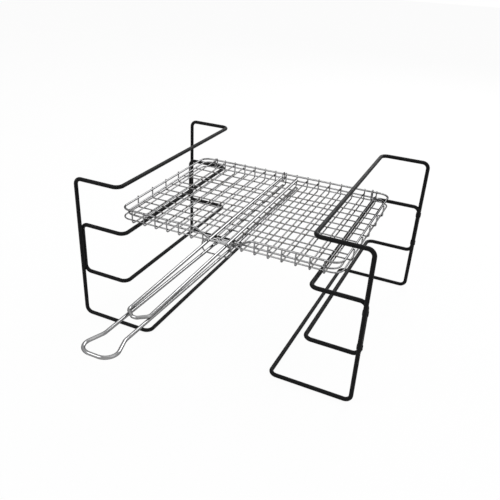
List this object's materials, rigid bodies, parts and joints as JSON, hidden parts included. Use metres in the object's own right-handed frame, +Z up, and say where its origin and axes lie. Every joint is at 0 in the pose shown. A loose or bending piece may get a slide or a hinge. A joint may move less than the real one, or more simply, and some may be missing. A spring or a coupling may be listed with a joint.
{
  "type": "grill basket with stands",
  "caption": "Flat wire grill basket with a hinged wire lid, long double handle and lock ring, lying on loose wire rod stands that have shelves at several heights.",
  "frame": {"origin": "middle of the object's footprint, on the ground under the base rods of the stands", "axes": "+X from the left stand to the right stand, +Y from the grip of the handle to the rear of the stands, +Z up"},
  "size_m": [0.4728, 0.6274, 0.2494],
  "materials": {
    "stand_rod": "satin black",
    "stand_weld": "satin black",
    "border_wire": "bright plated",
    "mesh_wire": "bright plated",
    "handle_rod": "bright plated",
    "loop_wire": "bright plated"
  },
  "bodies": {
    "left_stand": {"left_frame": "stand_rod", "left_shelves": "stand_rod", "left_welds": "stand_weld"},
    "right_stand": {"right_frame": "stand_rod", "right_shelves": "stand_rod", "right_welds": "stand_weld"},
    "tray": {"tray_rim": "border_wire", "tray_border": "border_wire", "tray_long_floor": "mesh_wire", "tray_cross_floor": "mesh_wire", "tray_front_wall": "mesh_wire", "tray_rear_wall": "mesh_wire", "tray_left_wall": "mesh_wire", "tray_right_wall": "mesh_wire", "tray_handle": "handle_rod", "hinge_loop_left": "loop_wire", "hinge_loop_middle": "loop_wire", "hinge_loop_right": "loop_wire"},
    "lid": {"lid_border": "border_wire", "lid_long_wires": "mesh_wire", "lid_cross_wires": "mesh_wire", "lid_handle": "handle_rod"},
    "lock_ring": {"lock_ring": "loop_wire"}
  },
  "joints": [
    {"name": "right_stand_shift", "type": "slide", "parent": "left_stand", "child": "right_stand", "axis": [1, 0, 0], "range_m": [-0.009, 0.0015]},
    {"name": "basket_shift", "type": "slide", "parent": "left_stand", "child": "tray", "axis": [0, 1, 0], "range_m": [-0.027, 0.015]},
    {"name": "lid_hinge", "type": "hinge", "parent": "tray", "child": "lid", "pos_m": [-0.001, 0.27654, 0.189], "axis": [-1, 0, 0], "range_deg": [0, 0.15]},
    {"name": "ring_slide", "type": "slide", "parent": "lid", "child": "lock_ring", "axis": [-0.0002, -0.9999, -0.0131], "range_m": [-0.006, 0.225]}
  ]
}
